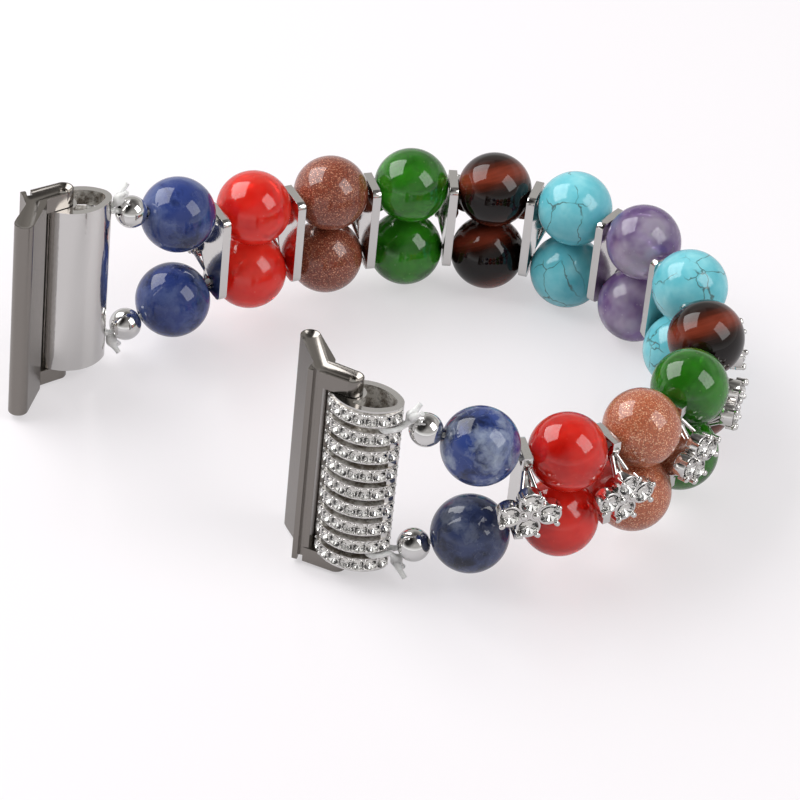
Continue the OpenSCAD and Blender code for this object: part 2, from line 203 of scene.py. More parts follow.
@dataclass(frozen=True)
class Finish:
    """A surface finish, with its shader's values.

    Attributes:
        name: The material's name.
        slot: The record's slot that it belongs to.
    """

    name: str
    slot: Slot

    def surface(self, tree: Tree, place: Source) -> Inputs:
        """Adds the pattern's nodes.

        Args:
            tree: The node tree.
            place: Object coordinates in millimetres.

        Returns:
            A value or a source for each of the shader's sockets.
        """
        raise NotImplementedError

    def material(self) -> bpy.types.Material:
        """Makes the material once.

        Returns:
            The material, or the one made before.
        """
        made = bpy.data.materials.get(self.name)
        if made:
            return made
        made = bpy.data.materials.new(self.name)
        tree = blank(made)
        spot = add(tree, "TexCoord").outputs["Object"]
        place = add(tree, "Mapping", {"Vector": spot, "Scale": (1 / MM, 1 / MM, 1 / MM)})
        shader = add(tree, "BsdfPrincipled", self.surface(tree, place))
        add(tree, "OutputMaterial", {0: shader})
        return made


@dataclass(frozen=True)
class Sodalite(Finish):
    """Polished sodalite, a deep blue opaque mineral: it gives a glassy skin over cloudy grey-white patches.

    Attributes:
        deep: Colour of the dark ground.
        blue: Colour of the blue fields.
        cloud: Colour of the cloudy patches.
        fill: Share of the way from no cloud to full cloud that a patch reaches.
    """

    name: str = "polished_sodalite"
    slot: Slot = Slot.SODALITE
    deep: str = "#1a2342"
    blue: str = "#344683"
    cloud: str = "#a9b4c6"
    fill: float = 0.85

    def surface(self, tree: Tree, place: Source) -> Inputs:
        """Adds fields and clouds 3 to 5 mm wide with frayed edges, and thin pale veins."""
        spot = bent(tree, place, 0.4, 4.0, 4.0)
        pale = linear(self.cloud)
        fields = noise(tree, spot, 0.2, 5.0, rough=0.6)
        ground = ramp(tree, fields, [(0.36, self.deep), (0.52, self.blue), (0.7, self.blue)])
        away = add(tree, "Mapping", {"Vector": spot, "Location": (31, 17, 5)})
        clouds = mapped(tree, noise(tree, away, 0.23, 7.0, rough=0.58), (0.48, 0.72), (0.0, self.fill))
        misty = mixed(tree, clouds, ground, pale)
        off = add(tree, "Math", {0: noise(tree, spot, 0.3, 4.0), 1: 0.5}, operation="SUBTRACT")
        vein = mapped(tree, add(tree, "Math", {0: off}, operation="ABSOLUTE"), (0.0, 0.008), (0.22, 0.0))
        return {"Base Color": mixed(tree, vein, misty, pale), "Roughness": 0.05, "IOR": 1.48}


@dataclass(frozen=True)
class ClearStone(Finish):
    """Polished translucent quartz, dyed or natural: light spreads inside it, so its far side glows.

    Attributes:
        dark: Colour of the deeper zones.
        light: Colour of the paler zones.
        glow: Distance in millimetres that red, green and blue light spread.
        cloud_size: Width of a cloud in millimetres.
        clear: Share of the light that passes straight through.
        speck: Colour of tiny flakes inside it.
    """

    name: str = "polished_red_agate"
    slot: Slot = Slot.AGATE
    dark: str = "#cf1c12"
    light: str = "#f03628"
    glow: Point = (4.0, 0.5, 0.4)
    cloud_size: float = 6.0
    clear: float = 0.4
    speck: str = "#f4584a"

    def surface(self, tree: Tree, place: Source) -> Inputs:
        """Adds soft clouds, and sparse faint flakes about 0.2 mm wide."""
        clouds = noise(tree, place, 1 / self.cloud_size, 3.0, twist=0.25)
        body = ramp(tree, clouds, [(0.4, self.dark), (0.6, self.light)])
        flakes = add(tree, "TexVoronoi", {"Vector": place, "Scale": 0.9})
        faint = times(tree, mapped(tree, flakes.outputs["Distance"], (0.14, 0.06)), 0.35)
        return {"Base Color": mixed(tree, faint, body, linear(self.speck)), "Roughness": 0.04, "IOR": 1.54,
                "Subsurface Weight": 0.8, "Subsurface Scale": MM, "Subsurface Radius": self.glow,
                "Transmission Weight": self.clear}


@dataclass(frozen=True)
class Goldstone(Finish):
    """Goldstone, glass full of tiny copper crystals: flat flakes that flash under a clear polished skin.

    Attributes:
        dark: Colour of the darker drifts of crystals.
        light: Colour of the brighter drifts.
        flash: Colour of a flake that catches the light.
    """

    name: str = "polished_goldstone"
    slot: Slot = Slot.GOLDSTONE
    dark: str = "#8a4027"
    light: str = "#c8704a"
    flash: str = "#ffcfa8"

    def surface(self, tree: Tree, place: Source) -> Inputs:
        """Adds flakes about 0.1 mm wide, drawn twice as coarse as they are so that they show."""
        flakes = add(tree, "TexVoronoi", {"Vector": place, "Scale": 5.2})
        shape = mapped(tree, flakes.outputs["Distance"], (0.5, 0.25))
        chosen = mapped(tree, add(tree, "SeparateColor", {0: flakes.outputs["Color"]}), (0.3, 0.85))
        flash = times(tree, shape, chosen)
        body = ramp(tree, noise(tree, place, 5.0, 3.0), [(0.3, self.dark), (0.7, self.light)])
        return {"Base Color": mixed(tree, flash, body, linear(self.flash)),
                "Roughness": mapped(tree, flash, (0.0, 1.0), (0.5, 0.3)),
                "Metallic": times(tree, flash, 0.45), "Specular IOR Level": 0.3,
                "Coat Weight": 1.0, "Coat Roughness": 0.03, "Coat IOR": 1.5}


@dataclass(frozen=True)
class TigerEye(Finish):
    """Red tiger eye, quartz full of parallel fibres: dark, with red-brown bands that are partly its own
    colour and partly painted silky sheen.
    """

    name: str = "polished_red_tiger_eye"
    slot: Slot = Slot.TIGER_EYE

    def surface(self, tree: Tree, place: Source) -> Inputs:
        """Adds soft bands about 8 mm apart, with fibres a few tenths of a millimetre wide; the brighter
        bands are partly painted sheen.
        """
        lean = add(tree, "Mapping", {"Vector": place, "Rotation": (0.5, 0.35, 0.9)})
        bands = add(tree, "TexWave", {"Vector": lean, "Scale": 0.04, "Distortion": 3.6, "Detail": 2.0,
                                      "Detail Scale": 0.4}, bands_direction="Z")
        stretched = add(tree, "Mapping", {"Vector": lean, "Scale": (0.4, 0.4, 4.0)})
        # The brighter bands are partly the stone's own red-brown and partly painted sheen of its fibres.
        bands_and_sheen = mixed(tree, 0.22, bands, noise(tree, stretched, 0.7, 4.0))
        stops = [(0.25, "#100807"), (0.5, "#24100b"), (0.72, "#4d2014"), (0.92, "#823827")]
        return {"Base Color": ramp(tree, bands_and_sheen, stops), "Roughness": 0.05, "IOR": 1.54,
                "Specular IOR Level": 0.35}


@dataclass(frozen=True)
class Turquoise(Finish):
    """Dyed howlite sold as turquoise: an opaque waxy blue with a few thin dark veins."""

    name: str = "polished_turquoise"
    slot: Slot = Slot.TURQUOISE

    def surface(self, tree: Tree, place: Source) -> Inputs:
        """Adds veins about 0.15 mm wide between cells about 6 mm across, on part of the stone."""
        spot = bent(tree, place, 0.35, 3.0, 3.0)
        cells = add(tree, "TexVoronoi", {"Vector": spot, "Scale": 0.16}, feature="DISTANCE_TO_EDGE")
        vein = mapped(tree, cells.outputs["Distance"], (0.004, 0.018), (0.75, 0.0))
        part = mapped(tree, noise(tree, place, 0.2, 1.0), (0.44, 0.52))
        tone = noise(tree, place, 0.3, 4.0)
        ground = ramp(tree, tone, [(0.3, "#59bccb"), (0.55, "#76ccd8"), (0.78, "#9cdfe6")])
        return {"Base Color": mixed(tree, times(tree, vein, part), ground, linear("#3d4234")),
                "Roughness": 0.12, "IOR": 1.55}


@dataclass(frozen=True)
class Metal(Finish):
    """A metal whose surface is cast, turned or brushed, and then polished or plated.

    Attributes:
        colour: Colour of the metal.
        smooth: Roughness of its smoothest spots.
        coarse: Roughness of its roughest spots.
        grain: Width of the surface's unevenness in millimetres.
        depth: Height of that unevenness in millimetres.
        stretch: Length of the grain along Z, in widths.
    """

    name: str = "plated_casting"
    slot: Slot = Slot.CASTING
    colour: str = "#dedcda"
    smooth: float = 0.05
    coarse: float = 0.16
    grain: float = 0.4
    depth: float = 0.006
    stretch: float = 1.0

    def surface(self, tree: Tree, place: Source) -> Inputs:
        """Adds the grain to the roughness and the height."""
        drawn = add(tree, "Mapping", {"Vector": place, "Scale": (1.0, 1.0, 1 / self.stretch)})
        grain = noise(tree, drawn, 1 / self.grain, 3.0)
        bump = add(tree, "Bump", {"Height": grain, "Distance": self.depth * MM, "Strength": 1.0})
        return {"Metallic": 1.0, "Base Color": linear(self.colour), "Normal": bump,
                "Roughness": mapped(tree, grain, (0.3, 0.7), (self.smooth, self.coarse))}


@dataclass(frozen=True)
class CoreMetal(Metal):
    """The casting's inner walls, which polishing doesn't reach: a pale metal with a soft, uneven shine, and
    dark patches that are partly painted shade.

    Attributes:
        dull_and_shade: Colour of the dark patches: matt plating, and painted shade in the chamber's hollows.
    """

    name: str = "unpolished_casting_and_shade"
    colour: str = "#f1eee9"
    dull_and_shade: str = "#8c8379"
    smooth: float = 0.22
    coarse: float = 0.45
    grain: float = 0.4
    depth: float = 0.03

    def surface(self, tree: Tree, place: Source) -> Inputs:
        """Adds the grain, and dark patches 1 to 2 mm wide, partly matt plating and partly painted shade."""
        # The dark patches fall at random; they are partly matt plating and partly painted shade of the
        # chamber.
        tone = ramp(tree, noise(tree, place, 0.6, 4.0, rough=0.7), [(0.42, self.dull_and_shade), (0.58, self.colour)])
        return {**super().surface(tree, place), "Metallic": 0.55, "Base Color": tone}


@dataclass(frozen=True)
class CutGlass(Finish):
    """Clear cut lead glass: polished facets that bend the light on to the foil behind."""

    name: str = "clear_cut_glass"
    slot: Slot = Slot.CRYSTAL

    def surface(self, tree: Tree, place: Source) -> Inputs:
        """Adds the faint haze of handling, in spots a millimetre wide."""
        return {"Base Color": linear("#fdfdfd"), "IOR": 1.58, "Transmission Weight": 1.0,
                "Roughness": mapped(tree, noise(tree, place, 1.0, 2.0), (0.4, 0.7), (0.005, 0.04))}


@dataclass(frozen=True)
class Elastic(Finish):
    """Clear stretch cord of polyurethane: milky where it is knotted, with a soft shine."""

    name: str = "clear_elastic"
    slot: Slot = Slot.ELASTIC

    def surface(self, tree: Tree, place: Source) -> Inputs:
        """Adds the faint unevenness of stretched cord."""
        haze = noise(tree, place, 1.5, 3.0)
        return {"Base Color": ramp(tree, haze, [(0.3, "#e6e6e3"), (0.7, "#fbfbf9")]),
                "Roughness": mapped(tree, haze, (0.0, 1.0), (0.25, 0.45)), "IOR": 1.5,
                "Subsurface Weight": 0.6, "Subsurface Scale": MM, "Subsurface Radius": (0.6, 0.6, 0.6),
                "Transmission Weight": 0.1}


BLUE = Sodalite()
BLUE_DARK = Sodalite("polished_dark_sodalite", deep="#1d2337", blue="#3a4468", cloud="#828a9e", fill=0.8)
BLUE_DEEP = Sodalite("polished_deep_sodalite", deep="#1a2347", blue="#30407c", cloud="#6c7aa2", fill=0.6)
RED = ClearStone()
RED_PALE = ClearStone("polished_pale_red_agate", dark="#f22c20", light="#ff4636", speck="#ff8070")
GREEN = ClearStone("polished_green_aventurine", Slot.AVENTURINE, "#287014", "#3c9222", (0.8, 2.6, 0.4), 5.0,
                   0.45, "#86c268")
VIOLET = ClearStone("polished_amethyst", Slot.AMETHYST, "#80609c", "#cbbfd4", (1.2, 0.9, 1.3), 6.0,
                    0.5, "#e6e0ea")
COPPER = Goldstone()
COPPER_DEEP = Goldstone("polished_deep_goldstone", dark="#561f11", light="#9a4a30", flash="#e8a482")
BROWN = TigerEye()
SKY = Turquoise()
CASTING = Metal()
CORE = CoreMetal()
MIRROR = Metal("mirror_ball", Slot.BALL, "#e2e1e0", 0.02, 0.05, 0.8, 0.0005)
STEEL = Metal("satin_dark_steel", Slot.STEEL, "#8f8a85", 0.13, 0.26, 0.06, 0.0015, 30.0)
PIN = Metal("polished_pin", Slot.PIN, "#b9b6b2", 0.1, 0.2, 0.1, 0.001)
GLASS = CutGlass()
FOIL = Metal("silver_foil", Slot.CRYSTAL, "#f3f2ef", 0.02, 0.07, 0.5, 0.0005)
CORD = Elastic()

# Least angle in degrees of an edge that is rounded
EDGE_ANGLE = 32.0
# Depth of a stone's pavilion over its width
PAVILION = 0.25
# Rings of a stone's corners: their number, radius and height over its width, and the first one's angle
CUT = ((16, 0.5, 0.0, 0.0), (16, 0.5, 0.02, 0.0), (8, 0.43, 0.085, 11.25), (8, 0.28, 0.17, 33.75),
       (8, 0.02, -PAVILION, 11.25))


@dataclass(frozen=True)
class Chain:
    """The run of the bead pairs in plan, in millimetres and degrees, as the solids have it.

    Attributes:
        bends: Turns at the near connector, each spacer and the far connector.
        start: Heading of the first pair.
        bead_d: Diameter of a bead.
        ball_d: Diameter of a plain ball.
        plate_t: Thickness of a spacer.
        gap: Gap between pieces that the cord pulls together.
        row: Distance between the two rows.
        slit_z: Height of a connector's cord hole over the middle plane.
        tip_gap: Distance from an end ball's mouth to its connector.
        level: Height of the middle plane.
    """

    bends: tuple[float, ...] = (20, 19, 22, 22, 21, 22, 23, 22, 20, 17, 12, 6, 0, -4)
    start: float = 6.0
    bead_d: float = 10.0
    ball_d: float = 4.3
    plate_t: float = 1.15
    gap: float = 0.05
    row: float = 10.2
    slit_z: float = 9.8
    tip_gap: float = 0.5
    level: float = 14.8

    @property
    def pairs(self) -> int:
        """Number of bead pairs."""
        return len(self.bends) - 1

    def heading(self, k: int) -> float:
        """Heading of pair k in degrees."""
        return self.start + sum(self.bends[1:k])

    def facing(self, k: int) -> float:
        """Direction along the band at spacer k in degrees."""
        return self.heading(k) + self.bends[k] / 2

    def reach(self, k: int) -> float:
        """Distance from a pair's middle to spacer k's."""
        return (self.bead_d / 2 + self.plate_t / 2 + self.gap) / math.cos(math.radians(self.bends[k] / 2))

    def offset(self) -> Vector:
        """Place of the first pair in the model's frame, from its bead's own box."""
        low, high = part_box("bead_upper_1")
        middle = (low + high) / 2 / MM
        return Vector((middle.x, middle.y, 0))

    def centre(self, k: int) -> Vector:
        """Finds the middle of a pair on the middle plane.

        Args:
            k: Number of the pair.

        Returns:
            The point in millimetres.
        """
        spot = self.offset() + Vector((0, 0, self.level))
        for i in range(2, k + 1):
            spot += self.reach(i - 1) * (along(self.heading(i - 1)) + along(self.heading(i)))
        return spot

    def hole(self, k: int) -> Vector:
        """Middle of spacer k."""
        return self.centre(k) + self.reach(k) * along(self.heading(k))

    def fan(self, k: int) -> float:
        """Finds how much a pair's cords slant away from the middle plane along the band.

        Args:
            k: Number of the pair.

        Returns:
            The angle in degrees, 0 but for the two end pairs.
        """
        if k not in (1, self.pairs):
            return 0.0
        reach = self.reach(1 if k == 1 else k - 1) + self.exit_x
        lean = math.degrees(math.atan2(self.slit_z - self.row / 2, reach))
        return lean if k == 1 else -lean

    def pair_z(self, k: int) -> float:
        """Height of pair k's beads over the middle plane."""
        reach = self.reach(1 if k == 1 else self.pairs - 1)
        return self.row / 2 + reach * math.tan(math.radians(abs(self.fan(k))))

    @property
    def exit_x(self) -> float:
        """Distance from the end pair's middle to where the cord leaves its ball."""
        return self.bead_d / 2 + self.ball_d + 2 * self.gap

    def bead_place(self, k: int, side: int) -> Matrix:
        """Place of a bead of pair k, with X along its hole."""
        spot = self.centre(k) + Vector((0, 0, side * self.pair_z(k)))
        return at(*spot) @ spin(self.heading(k)) @ spin(side * self.fan(k), "Y")

    def spacer_place(self, k: int) -> Matrix:
        """Place of spacer k, with X along the band and Y away from the wrist."""
        return at(*self.hole(k)) @ spin(self.facing(k) + 180)

    def last(self, way: int) -> int:
        """Number of the end pair in a direction along the band, -1 or 1."""
        return self.pairs if way > 0 else 1

    def end_place(self, way: int) -> Matrix:
        """Finds the place of a connector.

        Args:
            way: Its end's direction along the band, -1 or 1.

        Returns:
            The place, with X away from the beads and Y away from the wrist.
        """
        k = self.last(way)
        turn = self.heading(k) + (self.bends[-1] if way > 0 else -self.bends[0])
        tip = self.centre(k) + way * (self.exit_x * along(self.heading(k)) + self.tip_gap * along(turn))
        return at(*tip) @ (spin(turn) @ spin(180, "X") if way > 0 else spin(turn + 180))


def along(angle: float) -> Vector:
    """Unit vector in plan at an angle in degrees."""
    return Vector((math.cos(math.radians(angle)), math.sin(math.radians(angle)), 0))


def at(x: float, y: float, z: float) -> Matrix:
    """Move by a distance along each axis."""
    return Matrix.Translation((x, y, z))


def spin(angle: float, axis: str = "Z") -> Matrix:
    """Turn by an angle in degrees."""
    return Matrix.Rotation(math.radians(angle), 4, axis)


def pointing(way: Vector) -> Matrix:
    """Turn that takes +Z to a direction."""
    return way.to_track_quat("Z", "Y").to_matrix().to_4x4()


def arc(middle: Sequence[float], radius: float, start: float, end: float, steps: int) -> list[Vector]:
    """Points of an arc in plan.

    Args:
        middle: Centre of the arc.
        radius: Its radius.
        start: Angle of its first point, in degrees.
        end: Angle of its last point, in degrees.
        steps: Number of chords.

    Returns:
        The points.
    """
    base = Vector((middle[0], middle[1], 0))
    return [base + radius * along(start + (end - start) * i / steps) for i in range(steps + 1)]


def ring(middle: Sequence[float], radius: float, sides: int, start: float = 0.0) -> list[Vector]:
    """Corners of an even polygon in plan, from a start angle in degrees."""
    return arc(middle, radius, start, start + 360, sides)[:-1]


def evenly(count: int, pitch: float) -> list[float]:
    """Places a pitch apart, spread about 0."""
    return [(i - (count - 1) / 2) * pitch for i in range(count)]


def stamp(target: bmesh.types.BMesh, die: bpy.types.Mesh, places: Iterable[Matrix]) -> None:
    """Adds copies of a mesh to a bmesh that nothing has been deleted from.

    Args:
        target: The bmesh that grows.
        die: The mesh to copy.
        places: Where the copies go.
    """
    for place in places:
        start = len(target.verts)
        target.from_mesh(die)
        target.verts.ensure_lookup_table()
        bmesh.ops.transform(target, matrix=place, verts=target.verts[start:])


def as_die(name: str, bm: bmesh.types.BMesh) -> bpy.types.Mesh:
    """Keeps a bmesh as a mesh for copying, and frees it."""
    die = bpy.data.meshes.new(name)
    bm.to_mesh(die)
    bm.free()
    return die


def turned(profile: Sequence[Vector], steps: int, closed: bool) -> bmesh.types.BMesh:
    """Turns a profile about the X axis.

    Args:
        profile: Points with X along the axis and Y as the radius.
        steps: Number of steps in a full turn.
        closed: Whether the profile's ends join.

    Returns:
        The turned shape, with its ends filled and its normals outwards.
    """
    bm = bmesh.new()
    verts = [bm.verts.new((p.x, p.y, 0)) for p in profile]
    pairs = list(zip(verts, verts[1:])) + ([(verts[-1], verts[0])] if closed else [])
    edges = [bm.edges.new(pair) for pair in pairs]
    bmesh.ops.spin(bm, geom=verts + edges, cent=(0, 0, 0), axis=(1, 0, 0), angle=math.tau, steps=steps,
                   use_merge=True, use_duplicate=False)
    bmesh.ops.remove_doubles(bm, verts=bm.verts, dist=1e-4)
    if not closed:
        bmesh.ops.holes_fill(bm, edges=[e for e in bm.edges if e.is_boundary], sides=0)
    bmesh.ops.recalc_face_normals(bm, faces=bm.faces)
    return bm


def upright(name: str, bm: bmesh.types.BMesh) -> bpy.types.Mesh:
    """Turns a shape's X axis to +Z and keeps it as a mesh for copying."""
    bmesh.ops.rotate(bm, verts=bm.verts, cent=(0, 0, 0), matrix=Matrix.Rotation(-math.pi / 2, 3, "Y"))
    return as_die(name, bm)


def round_edges(bm: bmesh.types.BMesh, width: float) -> None:
    """Rounds every sharp edge by a width in millimetres."""
    sharp = [e for e in bm.edges if e.is_manifold and e.calc_face_angle() > math.radians(EDGE_ANGLE)]
    bmesh.ops.bevel(bm, geom=sharp, offset=width, offset_type="OFFSET", affect="EDGES", segments=2,
                    profile=0.5, material=-1, clamp_overlap=True)


def in_scene(name: str, data: bpy.types.ID) -> bpy.types.Object:
    """Makes an object of a mesh, curve, lamp or camera, and puts it in the scene."""
    obj = bpy.data.objects.new(name, data)
    bpy.context.scene.collection.objects.link(obj)
    return obj


def finish_piece(name: str, bm: bmesh.types.BMesh, finishes: Sequence[Finish], body: str,
                 nodes: Sequence[str] = (), sharp: float = 40.0, soften: bool = True) -> None:
    """Makes an object of a bmesh in millimetres, and sets it on its body.

    Args:
        name: The piece's name.
        bm: The bmesh, in the model's frame, which is freed.
        finishes: Its finishes, in the order of its faces' material numbers.
        body: The body that it rides on.
        nodes: The solids that it stands for.
        sharp: Angle past which an edge shows, in degrees.
        soften: Whether rounded edges blend into flat faces.
    """
    bmesh.ops.transform(bm, matrix=Matrix.Scale(MM, 4), verts=bm.verts)
    for face in bm.faces:
        face.smooth = True
    for edge in bm.edges:
        edge.smooth = not edge.is_manifold or edge.calc_face_angle() < math.radians(sharp)
    mesh = as_die(name, bm)
    obj = in_scene(name, mesh)
    for finish in finishes:
        mesh.materials.append(finish.material())
    if soften:
        blend = obj.modifiers.new("flats", "WEIGHTED_NORMAL")
        blend.keep_sharp = True
    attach(obj, body)
    if nodes:
        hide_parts(*nodes)
    LOG.info("%s: %d faces on %s", name, len(mesh.polygons), body)


def brilliant(width: float) -> bpy.types.Mesh:
    """Cuts a round stone with a table, kite and girdle facets, and a foiled pavilion.

    Args:
        width: Diameter of the girdle.

    Returns:
        The stone, its girdle at the origin and its table towards +Z; its pavilion has material 1.
    """
    bm = bmesh.new()
    for sides, radius, height, start in CUT:
        for spot in ring((0, 0), radius * width, sides, start):
            bm.verts.new((spot.x, spot.y, height * width))
    bmesh.ops.convex_hull(bm, input=bm.verts)
    bmesh.ops.delete(bm, geom=[v for v in bm.verts if not v.link_faces], context="VERTS")
    bmesh.ops.recalc_face_normals(bm, faces=bm.faces)
    for face in bm.faces:
        face.material_index = int(face.normal.z < -0.2)
    return as_die("stone", bm)


def set_stones(name: str, width: float, places: Iterable[Matrix], body: str,
               nodes: Sequence[str] = ()) -> None:
    """Makes a piece of set stones, with facets that show at every edge.

    Args:
        name: The piece's name.
        width: Diameter of a stone's girdle.
        places: Places of the stones, in the model's frame.
        body: The body that they ride on.
        nodes: The solids that they stand for.
    """
    bm = bmesh.new()
    stamp(bm, brilliant(width), places)
    finish_piece(name, bm, [GLASS, FOIL], body, nodes, sharp=4.0, soften=False)


def domed_pin(radius: float, length: float) -> bpy.types.Mesh:
    """Turns a prong with a ball tip round the origin, and its stem towards -Z.

    Args:
        radius: Radius of the ball.
        length: Length of the stem.

    Returns:
        The mesh.
    """
    neck = 0.86 * radius
    ball = [Vector((p.x, max(p.y, 0.002), 0)) for p in arc((0, 0), radius, 0, 120, 7)]
    stem = [Vector((-0.7 * radius, neck, 0)), Vector((-length, neck, 0))]
    return upright("prong", turned(ball + stem, 16, closed=False))


def rod(width: float, length: float, sides: int) -> bmesh.types.BMesh:
    """Makes a straight round bar along Z, about the origin.

    Args:
        width: Its diameter.
        length: Its length.
        sides: Number of faces round it.

    Returns:
        The shape.
    """
    bm = bmesh.new()
    bmesh.ops.create_cone(bm, cap_ends=True, segments=sides, radius1=width / 2, radius2=width / 2,
                          depth=length)
    return bm


def small_ball(radius: float, around: int, down: int) -> bpy.types.Mesh:
    """Makes a small ball.

    Args:
        radius: Its radius.
        around: Number of faces round it.
        down: Number of faces from pole to pole.

    Returns:
        The mesh.
    """
    bm = bmesh.new()
    bmesh.ops.create_uvsphere(bm, u_segments=around, v_segments=down, radius=radius)
    return as_die("ball", bm)


@dataclass
class Beads:
    """The drilled gemstone beads and plain balls.

    Attributes:
        chain: Where they hang.
        bore: Radius of the drilled hole.
        mouth: Width of the rounding at its mouths.
        lip: Points of that rounding, each its depth and the share of the width that is left.
        stones: Finish of each pair's upper and lower bead.
    """

    chain: Chain
    bore: float = 0.65
    mouth: float = 0.22
    lip: tuple[Span, ...] = ((0.04, 0.45), (0.11, 0.12), (0.25, 0.0))
    stones: tuple[tuple[Finish, Finish], ...] = (
        (BLUE, BLUE_DARK), (RED, RED), (COPPER, COPPER), (GREEN, GREEN), (BROWN, BROWN), (SKY, SKY),
        (VIOLET, VIOLET), (SKY, SKY), (BROWN, BROWN), (GREEN, GREEN), (COPPER_DEEP, COPPER_DEEP),
        (RED_PALE, RED_PALE), (BLUE_DEEP, BLUE_DEEP))

    def ball(self, width: float, steps: int) -> bpy.types.Mesh:
        """Turns a ball with a drilled hole along X.

        Args:
            width: Its diameter.
            steps: Number of steps round it.

        Returns:
            The mesh.
        """
        radius = width / 2
        edge = math.degrees(math.asin((self.bore + self.mouth) / radius))
        skin = arc((0, 0), radius, edge, 180 - edge, steps * 2 // 3)
        near = [Vector((skin[0].x - depth, self.bore + self.mouth * share, 0)) for depth, share in self.lip]
        far = [Vector((-p.x, p.y, 0)) for p in near]
        return as_die("ball", turned(near[::-1] + skin + far, steps, closed=True))

    def hang(self, name: str, node: str, ball: bpy.types.Mesh, place: Matrix, finish: Finish) -> None:
        """Makes one bead or ball.

        Args:
            name: The piece's name.
            node: The solid that it stands for and rides on.
            ball: Its mesh.
            place: Its place.
            finish: Its finish.
        """
        bm = bmesh.new()
        stamp(bm, ball, [place])
        finish_piece(name, bm, [finish], node, [node], soften=False)

    def build(self) -> None:
        """Makes every bead and ball."""
        chain = self.chain
        bead = self.ball(chain.bead_d, steps=72)
        for k, pair in enumerate(self.stones, start=1):
            for (side, row), finish in zip(ROWS, pair):
                self.hang(f"gem_{row}_{k}", f"bead_{row}_{k}", bead, chain.bead_place(k, side), finish)
        small = self.ball(chain.ball_d, steps=48)
        shift = (chain.bead_d + chain.ball_d) / 2 + chain.gap
        for way, end in ENDS:
            for side, row in ROWS:
                place = chain.bead_place(chain.last(way), side) @ at(way * shift, 0, 0)
                self.hang(f"{end}_mirror_ball_{row}", f"{end}_ball_{row}", small, place, MIRROR)


